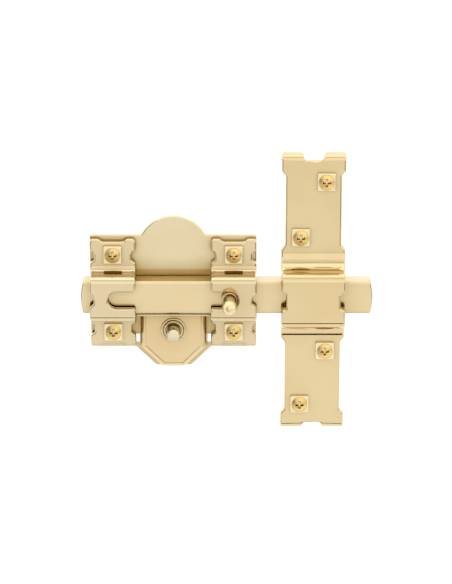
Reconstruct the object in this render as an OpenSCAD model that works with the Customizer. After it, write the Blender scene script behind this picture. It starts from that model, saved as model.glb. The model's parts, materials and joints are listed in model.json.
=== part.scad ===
// Sliding door bolt with a push-to-lock button, and its strike.
// The door face is the plane Y = 0. Everything stands out of it towards -Y, the bolt is thrown
// towards +X, and the origin is on the door face behind the middle of the bolt's guide.
// A "standoff" is a distance out of the door face, so it runs along -Y.

/* [Base plate] */
// Width of the base plate along the bolt
plate_w = 80; // [76:1:100]
// Height of the base plate across the bolt, without the dome and the foot
plate_h = 57.6; // [56:0.1:70]
// Thickness of the base plate
plate_t = 2; // [1.7:0.1:2.4]
// How far the half-round dome rises above the plate
dome_rise = 9.5; // [6:0.5:14]
// Width of the dome where it meets the plate
dome_w = 30.4; // [24:0.4:34]
// How far the foot reaches below the plate
foot_drop = 9.7; // [8.6:0.1:12]
// Width of the foot where it meets the plate
foot_w = 36.4; // [34:0.4:38]
// Width of each tab slot beside the cover
tab_slot_w = 1.8; // [1.2:0.1:2.2]
// Height of each tab slot
tab_slot_h = 4.7; // [3:0.1:6]

/* [Bolt] */
// Height of the bolt
bolt_h = 16.6; // [15:0.1:20]
// Thickness of the bolt, front to back
bolt_depth = 8.9; // [8.4:0.1:10.8]
// Radius along the bolt's four long edges
bolt_edge_r = 1.2; // [0.6:0.1:1.6]
// How far each end of the bolt bulges
bolt_end_bulge = 1.2; // [0.6:0.1:3]
// Corner radius of the bolt's ends, seen from the front
bolt_end_corner = 2.6; // [1:0.1:4]
// Length of bolt that stands out beyond the base plate at the back end when thrown
bolt_tail = 4.3; // [2:0.1:20]
// Length of bolt that stands out beyond the strike when thrown
bolt_past_strike = 13.2; // [8:0.1:16]
// Running gap behind and beside the bolt
bolt_gap = 0.3; // [0.2:0.05:0.4]

/* [Knob] */
// Diameter of the knob's collar, which runs in the guide slots
collar_d = 7.8; // [6.8:0.1:8.2]
// Diameter of the knob's neck
neck_d = 6.3; // [5.4:0.1:6.7]
// Diameter of the knob's ball
ball_d = 7.2; // [6.8:0.1:8.6]
// Standoff of the ball's centre from the bolt's front
ball_reach = 12.7; // [11:0.1:15]
// Height of the collar
collar_h = 2.9; // [2.2:0.1:3.6]
// Diameter of the spigot riveted into the bolt
spigot_d = 4; // [3:0.2:4.6]
// Distance of the knob from the middle of the strap, at either end of the throw
knob_inset = 2; // [1:0.5:4]

/* [Guide straps] */
// Width of each strap
strap_w = 22; // [20:0.5:22.4]
// Thickness of the strap, base and strike sheet above the plate
sheet = 2.8; // [2.4:0.1:3.4]
// Inner radius of the bend at the strap's face
strap_bend_r = 0.5; // [0.2:0.1:0.9]
// Radius of the bend where the strap meets its flange
strap_foot_r = 2.9; // [2.4:0.1:3.2]
// Gap between the bolt's front and the strap, where the bolt spring lies
spring_gap = 1.2; // [1.1:0.05:1.5]
// Gap left around the knob's collar in the slots
slot_gap = 0.3; // [0.2:0.05:0.4]
// Depth of the notches in the sides of the straps
strap_notch = 2; // [1.2:0.1:2.4]

/* [Screws] */
// Width of the raised square pad beyond the screw's head, both sides together
pad_margin = 1.5; // [1:0.1:1.9]
// Height of the raised pad
pad_h = 1.4; // [1:0.1:1.8]
// Diameter of a screw's head
head_d = 7.5; // [7:0.1:8.4]
// Outer diameter of the screw's thread
thread_d = 4; // [3.8:0.1:4.2]
// Diameter of the plain shank below the head
shank_d = 3; // [2.8:0.1:3.2]
// Length of screw behind the door face
screw_reach = 22; // [16:1:32]
// Distance of the lock's screws from the ends of their straps
screw_inset = 7.65; // [7.4:0.05:8]
// Distance of the straps' side notches from their ends
notch_inset = 8.9; // [8.4:0.1:9.2]

/* [Mechanism cover] */
// Width of the cover at its base
cover_w = 32.2; // [31.4:0.1:33]
// How far the lower part of the cover's sides leans in
cover_draft = 0.5; // [0.2:0.1:0.8]
// Width of the slope between the cover's sides and its face
cover_slope = 2; // [1.6:0.1:2.2]
// Thickness of the cover's sheet
cover_t = 1.3; // [1.1:0.1:1.4]
// Thickness of the back cover
back_t = 1; // [0.8:0.1:1.2]

/* [Button] */
// Diameter of the button
button_d = 6; // [5:0.1:7.2]
// How far the button stands out of the cover's face
button_out = 8; // [6.5:0.1:10]
// Stroke of the button
button_travel = 3; // [2.6:0.1:3.6]
// Distance of the button below the guide lip
button_drop = 8; // [7.8:0.1:8.6]
// Width of the bush round the button
bush_wall = 3.1; // [2.8:0.1:3.4]
// Diameter of the pin across the button
cross_pin_d = 1.2; // [1:0.1:1.2]
// Radial running gap of the button in its bush
button_gap = 0.05; // [0.02:0.01:0.08]

/* [Strike] */
// Gap between the base plate and the strike
strike_gap = 11.7; // [4:0.1:14]
// Width of the strike
strike_w = 30.6; // [29.6:0.1:32]
// Height of the strike
strike_h = 140.4; // [134:0.2:156]
// Height at which the strike's ends hold its flange off the frame
strike_stand = 3.25; // [2.8:0.05:3.8]
// Gap between the bolt's front and the strike
strike_room = 4.1; // [3:0.1:6]
// How much higher the flat on the strike's face is than the bolt
strike_flat_extra = 3; // [2:0.2:4.4]
// Inner radius of the bend at the strike's face
strike_bend_r = 1.35; // [0.8:0.05:1.8]
// Depth of the notches in the sides of the strike
strike_notch = 1.9; // [1:0.1:2.4]
// Distance between the outer screws of the strike
outer_screws = 114; // [112:0.5:116]
// Distance between the inner screws of the strike
inner_screws = 58; // [56:0.5:60]
// Sideways distance between neighbouring screws of the strike
screw_stagger = 12; // [10:0.5:13]

/* [Hidden] */
$fn = 64;

// Overlap that makes a cut pass right through
through = 1;
// Gap between two separate pieces that are fastened together
seat = 0.05;
// Gap that keeps two touching faces apart
hair = 0.02;
// Gap between pieces that slide past each other
slack = 0.15;
// Gap between pieces that pass without touching
clear = 0.2;
// Open room round a piece that moves
room = 0.3;
// How far a raised form is sunk into its sheet, so that both are one solid
root = 0.5;

// Bolt, seen from the side
lacquer_gap = 0.1;
bolt_back = plate_t + bolt_gap + lacquer_gap;
bolt_front = bolt_back + bolt_depth;
strike_x = plate_w / 2 + strike_gap + strike_w / 2;
bolt_right = strike_x + strike_w / 2 + bolt_past_strike;
bolt_left = -plate_w / 2 - bolt_tail;
bolt_end_r = (pow(bolt_h / 2, 2) + pow(bolt_end_bulge, 2)) / (2 * bolt_end_bulge);

// Straps, seen from the side
strap_x = plate_w / 2 - strap_w / 2;
strap_face_r = strap_bend_r + sheet;
strap_flange = plate_t + sheet;
strap_inner = bolt_front + spring_gap;
strap_face = strap_inner + sheet;
strap_wall = bolt_h / 2 + bolt_gap + sheet;
strap_margin = 1.4;
strap_end = plate_h / 2 - strap_margin;
strap_end_notch = 1.4;
strap_end_notch_w = 11.5;
side_notch_h = 3.9;
side_notch_flank = 1.2;
middle_notch_h = 3.6;
middle_notch_flank = 1.7;
slot_w = collar_d + 2 * slot_gap;

// The knob at either end of its slot; the bolt's throw joins the two places
knob_x = strap_x - knob_inset;
bolt_travel = 2 * knob_x;

// Knob's rivet shank, the broken edge of its collar, and its neck
spigot_l = 5.9;
spigot_gap = 0.1;
collar_edge = 0.4;
neck_flare = 0.8;
neck_waist = 0.3;
neck_top = 0.2;
ball_root = 1;

// Lower guide lip, bent up out of the plate below the bolt
lip_t = 1.2;
lip_gap = 0.5;
lip_setback = 1.3;
lip_top = -bolt_h / 2 - lip_gap;
lip_bottom = lip_top - lip_t;
lip_reach = bolt_front - lip_setback;
lip_w = plate_w - 2 * strap_w - 2 * clear;

// Opening in the plate behind the mechanism, with a step for the back cover
opening_w = 26;
opening_top = lip_bottom - 1;
step = 1.4;

// Room behind the cover for the button's stroke, its pin and the running gaps
cover_room = 0.5;
cover_under = back_t + button_travel + cross_pin_d + cover_room;
cover_face = cover_under + cover_t;

// Button and the pin that drives the catch
button_z = lip_bottom - button_drop;
button_tip = cover_face + button_out;
pin_overhang = 2.2;
pin_play = 0.08;
button_edge = 0.5;
pin_standoff = cover_under - clear - cross_pin_d / 2;
button_back = pin_standoff - cross_pin_d / 2 - clear;
pin_length = button_d + 2 * pin_overhang;
bush_r = button_d / 2 + bush_wall;
bush_bore = button_d / 2 + button_gap;
bush_flange = 1.2;
bush_ring_w = 1.15;
bush_well_gap = 0.65;
bush_ring_h = 0.6;
bush_bead_h = 1;
bush_edge = 0.4;
bush_lean = 0.1;
bush_rim = 0.3;
bush_neck = bush_r - bush_flange;
bush_groove = bush_r - bush_ring_w;
bush_well = button_d / 2 + bush_well_gap;
bush_guide_h = 0.5;
bush_ring = cover_face + bush_ring_h;
bush_bead = cover_face + bush_bead_h;

// Catch: a block with a tongue that rises into the bolt, and wings that run on the pillars
catch_back = back_t + slack;
catch_front = cover_under - slack;
catch_half = 6.6;
tongue_half = 6;
tongue_gap = 0.6;
tongue_room = 0.4;
wing_drop = 0.8;
catch_overlap = 0.6;
slope_start = 3;
slope_l = 11;
tongue_back = plate_t + tongue_gap;
tongue_top = -bolt_h / 2 - bolt_gap;
wing_half = 12.4;
wing_front = cover_under - wing_drop;
wing_top = button_z - 2;
catch_top = opening_top - button_travel + catch_overlap;

// Pillars that join the two covers, and the slots in the catch that run on them
pillar_x = 9.6;
pillar_z = button_z - 4;
pillar_r = 1.8;
pillar_gap = 0.06;
slot_play = 0.1;
back_screw_r = 0.95;
back_head_r = 2;
back_head_play = 0.1;
back_screw_gap = 0.2;
back_hole_end = 1;
back_slot_w = 0.5;
back_slot_depth = 0.4;
wing_rim = 1.24;
wing_bottom = pillar_z - button_travel - slot_play - pillar_r - pillar_gap - wing_rim;
wing_cut = 2.4;
catch_bottom = wing_bottom + catch_overlap;
opening_margin = 1.4;
opening_bottom = wing_bottom - opening_margin;

// Cover outline from the front, and the corner and end of the plate's foot below it
cover_top = lip_bottom - clear;
corner_rise = 1;
wing_cover = 0.4;
cover_corner = min(-plate_h / 2 + corner_rise, wing_bottom + wing_cover);
foot_corner = cover_corner - corner_rise;
foot_end = -plate_h / 2 - foot_drop;
cover_foot = foot_end + clear;
tab_slot_gap = 1.2;
cover_lean = cover_draft + cover_slope;
cover_knee = cover_face - cover_slope;

// Return springs, from the catch's wings up to the guide lip
coil_r = 1.05;
wire_r = 0.22;
coil_turns = 7;
coil_steps = 14;
coil_sides = 6;
coil_x = 9.6;
coil_standoff = plate_t + coil_r + wire_r + clear;

// Detent leaves, which hang from the guide lip and snap into grooves in the catch's sides
detent_t = 0.3;
detent_gap = 0.45;
detent_play = 0.1;
detent_drop = 2.6;
detent_x = catch_half + detent_gap;
detent_bump_r = 0.8;
detent_z = catch_top - detent_drop;
detent_high = lip_bottom - seat;
detent_low = detent_z - detent_bump_r;

// Leaf springs between the straps and the bolt
leaf_t = 0.4;
leaf_half = 9;
leaf_rub = 0.08;
leaf_low = slot_w / 2 + room;
leaf_high = bolt_h / 2 - bolt_edge_r;

// Strike, seen from the side
strike_flange = strike_stand + sheet;
strike_face = bolt_front + strike_room + sheet;
strike_face_r = strike_bend_r + sheet;
strike_flat = bolt_h + strike_flat_extra;
strike_wall = strike_flat / 2 + strike_face_r;
strike_foot_r = strike_face - strike_face_r - strike_flange;
strike_end = strike_h / 2;
strike_edge_r = 1.5;

// Strike, seen from the front: its ears, waist, shoulders and notches
strike_ear = 8.2;
strike_ear_flank = 2;
strike_shoulder_gap = 0.55;
strike_shoulder = strike_wall + strike_foot_r + strike_shoulder_gap;
strike_shoulder_flank = 2.5;
strike_mid_notch = 2.4;
strike_mid_notch_h = 8.2;
strike_mid_notch_flank = 0.4;
strike_mid_notch_z = 0.5;
strike_end_notch = 4.6;
strike_end_flank = 0.4;

// Screws
pad_side = head_d + pad_margin;
screw_hole_d = thread_d + 2 * clear;
thread_fade = 0.4;
head_rise = 0.9;
sink_depth = 2;
recess_w = 1;
recess_l = 4.4;
recess_depth = 1.8;
point_l = 5;

plate_gold = [0.90, 0.82, 0.62];
strap_gold = [0.88, 0.79, 0.62];
screw_gold = [0.91, 0.76, 0.44];
bright_steel = [0.78, 0.78, 0.76];
spring_steel = [0.55, 0.55, 0.56];

// Stands an outline, drawn as seen from the front, out of the door between two standoffs
module stand(low, high) {
    rotate([90, 0, 0]) translate([0, 0, low]) linear_extrude(high - low) children();
}

// Runs a side view, drawn as height and standoff, along X between two places
module run(left, right) {
    translate([left, 0, 0]) rotate([0, -90, 180]) linear_extrude(right - left) children();
}

// Round bar square to the door
module peg(x, z, low, high, r) {
    stand(low, high) translate([x, z]) circle(r);
}

// Turned piece square to the door: the outline is drawn as radius and standoff
module turned(x, z) {
    translate([x, 0, z]) rotate([90, 0, 0]) rotate_extrude() children();
}

// Rectangle given by two opposite corners
module box2d(low, high) {
    translate(low) square(high - low);
}

// Side view of a top-hat section, filled down to below the door face
module hat(face, flange, wall, end, face_r, foot_r) {
    box2d([-end, -through], [end, flange]);
    box2d([-wall, -through], [wall, face - face_r]);
    box2d([-wall + face_r, -through], [wall - face_r, face]);
    for (side = [-1, 1]) {
        translate([side * (wall - face_r), face - face_r]) circle(face_r);
        difference() {
            box2d([min(side * wall, side * (wall + foot_r)), 0],
                  [max(side * wall, side * (wall + foot_r)), flange + foot_r]);
            translate([side * (wall + foot_r), flange + foot_r]) circle(foot_r);
        }
    }
}

// Side view of a sheet bent into a top-hat section
module hat_sheet(face, flange, wall, end, face_r, foot_r) {
    difference() {
        hat(face, flange, wall, end, face_r, foot_r);
        hat(face - sheet, flange - sheet, wall - sheet, end + through, face_r - sheet, foot_r + sheet);
    }
}

// Notch in the edge of a sheet, seen from the front: wider at the edge than at its floor
module edge_notch(x, z, depth, floor_h, flank) {
    translate([x, z])
        polygon([[through, -floor_h / 2 - flank - flank * through / depth],
                 [-depth, -floor_h / 2], [-depth, floor_h / 2],
                 [through, floor_h / 2 + flank + flank * through / depth]]);
}

// Raised square pad with the screw's seat; solid over the flange
module screw_pad(x, z, flange) {
    stand(flange - root, flange + pad_h) translate([x - pad_side / 2, z - pad_side / 2]) square(pad_side);
}

// Hole and countersink for one wood screw, from the given back to above the pad
module screw_seat(x, z, back, pad) {
    peg(x, z, back - through, pad + through, screw_hole_d / 2);
    seat_r = head_d / 2 + seat;
    turned(x, z) polygon([[0, pad - sink_depth], [screw_hole_d / 2, pad - sink_depth],
                          [seat_r, pad], [seat_r, pad + through], [0, pad + through]]);
}

// One cross-head wood screw whose head sits in a pad of the given standoff
module wood_screw(x, z, pad) {
    dome_r = (pow(head_d / 2, 2) + pow(head_rise, 2)) / (2 * head_rise);
    difference() {
        union() {
            turned(x, z) polygon([[0, 0], [shank_d / 2, 0], [shank_d / 2, pad - sink_depth],
                                  [head_d / 2, pad - seat], [head_d / 2, pad], [0, pad]]);
            intersection() {
                translate([x, -(pad + head_rise - dome_r), z]) sphere(dome_r);
                peg(x, z, pad - seat, pad + head_rise + through, head_d / 2);
            }
            turned(x, z) polygon([[0, -screw_reach], [thread_d / 2, -screw_reach + point_l],
                                  [thread_d / 2, -thread_fade], [shank_d / 2, 0], [0, 0]]);
        }
        for (turn = [0, 90])
            translate([x, 0, z]) rotate([0, turn, 0])
                stand(pad + head_rise - recess_depth, pad + head_rise + through)
                    translate([-recess_l / 2, -recess_w / 2]) square([recess_l, recess_w]);
    }
}

function lock_screw_places() =
    [for (x = [-1, 1]) for (z = [-1, 1]) [x * strap_x, z * (strap_end - screw_inset)]];

function strike_screw_places() = [
    [strike_x + screw_stagger / 2, outer_screws / 2], [strike_x - screw_stagger / 2, inner_screws / 2],
    [strike_x + screw_stagger / 2, -inner_screws / 2], [strike_x - screw_stagger / 2, -outer_screws / 2]
];

module base_plate() {
    dome_r = (pow(dome_w / 2, 2) + pow(dome_rise, 2)) / (2 * dome_rise);
    color(plate_gold) difference() {
        union() {
            stand(0, plate_t) {
                square([plate_w, plate_h], center = true);
                translate([0, plate_h / 2 + dome_rise - dome_r]) circle(dome_r);
                polygon([[-foot_w / 2, 0], [-foot_w / 2, foot_corner],
                         [-foot_w / 2 + foot_corner - foot_end, foot_end],
                         [foot_w / 2 - foot_corner + foot_end, foot_end],
                         [foot_w / 2, foot_corner], [foot_w / 2, 0]]);
            }
            stand(plate_t - root, lip_reach) box2d([-lip_w / 2, lip_bottom], [lip_w / 2, lip_top]);
        }
        stand(-through, plate_t + through)
            box2d([-opening_w / 2, opening_bottom], [opening_w / 2, opening_top]);
        stand(-through, back_t)
            box2d([-opening_w / 2 - step, opening_bottom - step],
                  [opening_w / 2 + step, opening_top + step]);
        stand(plate_t, catch_front + room)
            box2d([-tongue_half - room, lip_bottom - through], [tongue_half + room, lip_top + through]);
        for (side = [-1, 1])
            stand(-through, plate_t + through)
                translate([side * (cover_w / 2 + tab_slot_gap) - tab_slot_w / 2,
                           cover_corner + corner_rise])
                    square([tab_slot_w, tab_slot_h]);
        for (place = lock_screw_places())
            peg(place[0], place[1], -through, plate_t + through, screw_hole_d / 2);
    }
}

// One guide strap; side is -1 for the left one and 1 for the right one. The knob's slot is open
// towards the middle of the lock.
module strap(side) {
    color(strap_gold) difference() {
        union() {
            run(side * strap_x - strap_w / 2, side * strap_x + strap_w / 2)
                hat_sheet(strap_face, strap_flange, strap_wall, strap_end, strap_face_r, strap_foot_r);
            for (z = [-1, 1]) screw_pad(side * strap_x, z * (strap_end - screw_inset), strap_flange);
        }
        stand(0, strap_face + through) {
            for (edge = [-1, 1])
                translate([side * strap_x + edge * strap_w / 2, 0]) scale_x(edge) {
                    for (z = [-1, 1])
                        edge_notch(0, z * (strap_end - notch_inset), strap_notch,
                                   side_notch_h, side_notch_flank);
                    edge_notch(0, 0, strap_notch, middle_notch_h, middle_notch_flank);
                }
            for (z = [-1, 1])
                translate([side * strap_x, z * (strap_end - strap_end_notch / 2 + through / 2)])
                    square([strap_end_notch_w, strap_end_notch + through], center = true);
        }
        stand(strap_inner - through, strap_face + through) {
            translate([side * knob_x, 0]) circle(slot_w / 2);
            box2d([min(side * knob_x, side * (strap_x - strap_w / 2 - through)), -slot_w / 2],
                  [max(side * knob_x, side * (strap_x - strap_w / 2 - through)), slot_w / 2]);
        }
        for (z = [-1, 1])
            screw_seat(side * strap_x, z * (strap_end - screw_inset), plate_t, strap_flange + pad_h);
    }
}

// Flips an outline left to right for a negative side
module scale_x(side) {
    if (side < 0) mirror([1, 0]) children();
    else children();
}

module left_strap() strap(-1);

module right_strap() strap(1);

// Outline of the cover, drawn in by an inset on every side but its open top
module cover_outline(inset, top) {
    half = cover_w / 2 - inset;
    corner = cover_corner + inset * tan(22.5);
    foot = cover_foot + inset;
    foot_half = half - (corner - foot);
    polygon([[-half, top], [half, top], [half, corner], [foot_half, foot], [-foot_half, foot],
             [-half, corner]]);
}

// Form of the cover: nearly straight sides, then a slope up to the face. Shrink takes the sheet's
// thickness off.
module cover_form(shrink, low, knee, high, top) {
    slice = 0.01;
    hull() {
        stand(low, low + slice) cover_outline(shrink, top);
        stand(knee - slice, knee) cover_outline(cover_draft + shrink, top);
    }
    hull() {
        stand(knee - slice, knee) cover_outline(cover_draft + shrink, top);
        stand(high - slice, high) cover_outline(cover_lean + shrink, top);
    }
}

module mechanism_cover() {
    color(plate_gold) difference() {
        cover_form(0, plate_t, cover_knee, cover_face, cover_top);
        cover_form(cover_t, plate_t - hair, cover_knee - cover_t / 2, cover_under, cover_top + through);
        peg(0, button_z, cover_under - through, cover_face + through, bush_neck + seat);
    }
}

module back_cover() {
    color(bright_steel) difference() {
        stand(0, back_t - seat)
            box2d([-opening_w / 2 - step + seat, opening_bottom - step + seat],
                  [opening_w / 2 + step - seat, opening_top + step - seat]);
        for (side = [-1, 1])
            turned(side * pillar_x, pillar_z)
                polygon([[0, -through], [back_head_r + back_head_play, -through],
                         [back_head_r + back_head_play, 0], [back_screw_r + slack, back_t], [0, back_t]]);
    }
}

// Pillar from the back cover to the underside of the cover, tapped from the back
module pillar(side) {
    color(bright_steel) difference() {
        peg(side * pillar_x, pillar_z, back_t, cover_under, pillar_r);
        peg(side * pillar_x, pillar_z, back_t - through, cover_under - back_hole_end, back_screw_r + seat);
    }
}

module left_pillar() pillar(-1);

module right_pillar() pillar(1);

module back_cover_screws() {
    color(bright_steel) for (side = [-1, 1])
        difference() {
            turned(side * pillar_x, pillar_z)
                polygon([[0, seat], [back_head_r, seat], [back_screw_r, back_t - seat],
                         [back_screw_r, cover_under - back_hole_end - back_screw_gap],
                         [0, cover_under - back_hole_end - back_screw_gap]]);
            stand(-through, seat + back_slot_depth)
                translate([side * pillar_x - back_head_r - clear, pillar_z - back_slot_w / 2])
                    square([2 * (back_head_r + clear), back_slot_w]);
        }
}

// Bowed leaf between a strap's roof and the bolt, above the knob's slot
module leaf_spring(side) {
    bow = strap_inner - bolt_front - leaf_rub - leaf_t - hair;
    outer_r = (pow(leaf_half, 2) + pow(bow, 2)) / (2 * bow);
    color(spring_steel) intersection() {
        translate([side * strap_x, -(bolt_front + leaf_rub + outer_r), leaf_low])
            difference() {
                cylinder(r = outer_r, h = leaf_high - leaf_low, $fn = 128);
                translate([0, 0, -through]) cylinder(r = outer_r - leaf_t, h = leaf_high, $fn = 128);
            }
        stand(bolt_front, strap_inner - hair / 2)
            box2d([side * strap_x - leaf_half, leaf_low], [side * strap_x + leaf_half, leaf_high]);
    }
}

module left_bolt_spring() leaf_spring(-1);

module right_bolt_spring() leaf_spring(1);

// Side view of the bolt: a rectangle with rounded corners
module bolt_section() {
    r = bolt_edge_r;
    box2d([-bolt_h / 2 + r, bolt_back], [bolt_h / 2 - r, bolt_front]);
    box2d([-bolt_h / 2, bolt_back + r], [bolt_h / 2, bolt_front - r]);
    for (z = [-1, 1]) for (standoff = [bolt_back + r, bolt_front - r])
        translate([z * (bolt_h / 2 - r), standoff]) circle(r);
}

// Bolt, seen from the front: a bar with rounded corners and bulging ends
module bolt_outline() {
    r = bolt_end_corner;
    intersection() {
        union() {
            box2d([bolt_left + r, -bolt_h / 2], [bolt_right - r, bolt_h / 2]);
            box2d([bolt_left, -bolt_h / 2 + r], [bolt_right, bolt_h / 2 - r]);
            for (x = [bolt_left + r, bolt_right - r]) for (z = [-1, 1])
                translate([x, z * (bolt_h / 2 - r)]) circle(r);
        }
        union() {
            translate([bolt_right - bolt_end_r, 0]) circle(bolt_end_r, $fn = 128);
            translate([bolt_left + bolt_end_r, 0]) circle(bolt_end_r, $fn = 128);
            box2d([bolt_left + bolt_end_r, -bolt_h], [bolt_right - bolt_end_r, bolt_h]);
        }
    }
}

module bolt() {
    color(plate_gold) difference() {
        intersection() {
            run(bolt_left, bolt_right) bolt_section();
            stand(bolt_back - through, bolt_front + through) bolt_outline();
        }
        // Notches that the catch's tongue enters with the bolt thrown and with it drawn back
        for (x = [0, bolt_travel])
            stand(bolt_back - through, catch_front + tongue_room)
                box2d([x - tongue_half - tongue_room, -bolt_h],
                      [x + tongue_half + tongue_room, tongue_top + button_travel + room]);
        peg(knob_x, 0, bolt_front - spigot_l - spigot_gap, bolt_front + through, spigot_d / 2 + hair);
    }
}

module bolt_knob() {
    base = bolt_front;
    neck_r = neck_d / 2;
    color(plate_gold) {
        turned(knob_x, 0)
            polygon([[0, base - spigot_l], [spigot_d / 2, base - spigot_l], [spigot_d / 2, base],
                     [collar_d / 2, base], [collar_d / 2, base + collar_h - collar_edge],
                     [collar_d / 2 - collar_edge, base + collar_h], [neck_r, base + collar_h + neck_flare],
                     [neck_r - neck_waist, base + ball_reach / 2 + ball_root],
                     [neck_r - neck_top, base + ball_reach - ball_root],
                     [0, base + ball_reach - ball_root]]);
        translate([knob_x, -(base + ball_reach), 0]) sphere(ball_d / 2);
    }
}

module button_bush() {
    color(plate_gold) difference() {
        turned(0, button_z)
            polygon([[0, cover_under - seat], [bush_neck, cover_under - seat], [bush_neck, cover_face],
                     [bush_r, cover_face], [bush_r - bush_lean, bush_ring - bush_edge / 2],
                     [bush_r - bush_edge, bush_ring], [bush_groove + bush_edge / 2, bush_ring],
                     [bush_groove, bush_ring - bush_rim], [bush_groove - bush_lean, bush_bead - bush_edge],
                     [bush_groove - bush_lean - bush_edge, bush_bead], [bush_well + bush_rim, bush_bead],
                     [bush_well, bush_bead - bush_edge], [0, bush_bead - bush_edge]]);
        peg(0, button_z, cover_under - through, bush_bead, bush_bore);
        peg(0, button_z, cover_under + bush_guide_h, bush_bead + through, bush_well);
    }
}

module button_plunger() {
    r = button_d / 2;
    color(plate_gold) difference() {
        turned(0, button_z)
            polygon([[0, button_back], [r, button_back], [r, button_tip - button_edge],
                     [r - button_edge, button_tip], [0, button_tip]]);
        translate([0, -pin_standoff, button_z]) rotate([0, 90, 0])
            cylinder(r = cross_pin_d / 2 + hair, h = pin_length, center = true);
    }
}

module cross_pin() {
    color(bright_steel) translate([0, -pin_standoff, button_z]) rotate([0, 90, 0])
        cylinder(r = cross_pin_d / 2, h = pin_length, center = true);
}

module locking_catch() {
    window_half = button_d / 2 + room;
    color(bright_steel) difference() {
        union() {
            stand(catch_back, catch_front)
                box2d([-catch_half, catch_bottom], [catch_half, catch_top]);
            stand(tongue_back, catch_front)
                box2d([-tongue_half, catch_top - through], [tongue_half, tongue_top]);
            stand(catch_back, wing_front)
                polygon([[-wing_half, wing_top], [wing_half, wing_top], [wing_half, wing_bottom + wing_cut],
                         [wing_half - wing_cut, wing_bottom], [-wing_half + wing_cut, wing_bottom],
                         [-wing_half, wing_bottom + wing_cut]]);
        }
        // Back of the block, cut away where it rises in front of the plate
        stand(catch_back - through, plate_t + slack)
            box2d([-catch_half - through, opening_top - button_travel - clear],
                  [catch_half + through, catch_top + through]);
        // Window for the button, and the slope that its cross pin pushes along
        stand(catch_back - through, catch_front + through)
            box2d([-window_half, button_z - button_travel - window_half],
                  [window_half, button_z + window_half]);
        translate([0, -pin_standoff, button_z]) rotate([-45, 0, 0])
            translate([-pin_length / 2 - clear, -slope_start, -cross_pin_d / 2 - pin_play])
                cube([pin_length + 2 * clear, slope_l, cross_pin_d + 2 * pin_play]);
        for (side = [-1, 1]) {
            for (drop = [0, button_travel])
                stand(catch_back - through, catch_front + through)
                    translate([side * detent_x, detent_z - drop]) circle(detent_bump_r + detent_play);
            stand(catch_back - through, wing_front + through)
                translate([side * pillar_x, 0]) {
                    box2d([-pillar_r - pillar_gap, pillar_z - button_travel - slot_play],
                          [pillar_r + pillar_gap, pillar_z + slot_play]);
                    for (z = [pillar_z + slot_play, pillar_z - button_travel - slot_play])
                        translate([0, z]) circle(pillar_r + pillar_gap);
                }
        }
    }
}

// Coil spring standing along Z, swept as a tube of flat-sided rings
module coil_spring(side) {
    bottom = wing_top + wire_r + hair;
    top = lip_bottom - wire_r - hair;
    rings = coil_turns * coil_steps;
    points = [for (i = [0:rings]) for (j = [0:coil_sides - 1])
        let (around = 360 * i / coil_steps, section = 360 * j / coil_sides,
             reach = coil_r + wire_r * cos(section),
             rise = bottom + (top - bottom) * i / rings + wire_r * sin(section))
        [reach * cos(around), reach * sin(around), rise]];
    walls = [for (i = [0:rings - 1]) for (j = [0:coil_sides - 1])
        let (next = (j + 1) % coil_sides)
        [i * coil_sides + j, i * coil_sides + next, (i + 1) * coil_sides + next, (i + 1) * coil_sides + j]];
    first = [for (j = [coil_sides - 1:-1:0]) j];
    last = [for (j = [0:coil_sides - 1]) rings * coil_sides + j];
    color(spring_steel) translate([side * coil_x, -coil_standoff, 0])
        polyhedron(points, concat([first], walls, [last]), convexity = 10);
}

module left_return_spring() coil_spring(-1);

module right_return_spring() coil_spring(1);

// Leaf with a rounded bump, beside the catch
module detent_spring(side) {
    color(spring_steel) stand(plate_t + slack, wing_front) {
        box2d([min(side * detent_x, side * (detent_x + detent_t)), detent_low],
              [max(side * detent_x, side * (detent_x + detent_t)), detent_high]);
        translate([side * detent_x, detent_z]) circle(detent_bump_r);
    }
}

module left_detent_spring() detent_spring(-1);

module right_detent_spring() detent_spring(1);

// Half of the strike's outline from the front, for the notches down one side
module strike_side_cuts() {
    edge = strike_w / 2;
    waist = edge - strike_notch;
    ear = strike_end - strike_ear;
    for (flip = [0, 1]) mirror([0, flip])
        polygon([[edge + through, ear], [edge, ear], [waist, ear - strike_ear_flank],
                 [waist, strike_shoulder + strike_shoulder_flank], [edge, strike_shoulder],
                 [edge + through, strike_shoulder]]);
    edge_notch(edge, strike_mid_notch_z, strike_mid_notch, strike_mid_notch_h, strike_mid_notch_flank);
}

module strike_plate() {
    color(plate_gold) difference() {
        union() {
            run(strike_x - strike_w / 2, strike_x + strike_w / 2) {
                hat_sheet(strike_face, strike_flange, strike_wall, strike_end - strike_edge_r,
                          strike_face_r, strike_foot_r);
                for (end = [0, 1]) mirror([end, 0]) {
                    box2d([strike_end - sheet, 0], [strike_end, strike_flange - strike_edge_r]);
                    intersection() {
                        translate([strike_end - strike_edge_r, strike_flange - strike_edge_r])
                            circle(strike_edge_r);
                        box2d([strike_end - sheet, 0], [strike_end, strike_flange]);
                    }
                }
            }
            for (place = strike_screw_places()) screw_pad(place[0], place[1], strike_flange);
        }
        stand(-through, strike_face + through) translate([strike_x, 0]) {
            strike_side_cuts();
            mirror([1, 0]) strike_side_cuts();
            for (flip = [0, 1]) mirror([0, flip])
                polygon([[-strike_end_notch - strike_end_flank, strike_end + through],
                         [-strike_end_notch, strike_end - sheet - clear],
                         [strike_end_notch, strike_end - sheet - clear],
                         [strike_end_notch + strike_end_flank, strike_end + through]]);
        }
        for (place = strike_screw_places())
            screw_seat(place[0], place[1], strike_flange - sheet, strike_flange + pad_h);
    }
}

module lock_screws() {
    color(screw_gold) for (place = lock_screw_places())
        wood_screw(place[0], place[1], strap_flange + pad_h);
}

module strike_screws() {
    color(screw_gold) for (place = strike_screw_places())
        wood_screw(place[0], place[1], strike_flange + pad_h);
}

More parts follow.
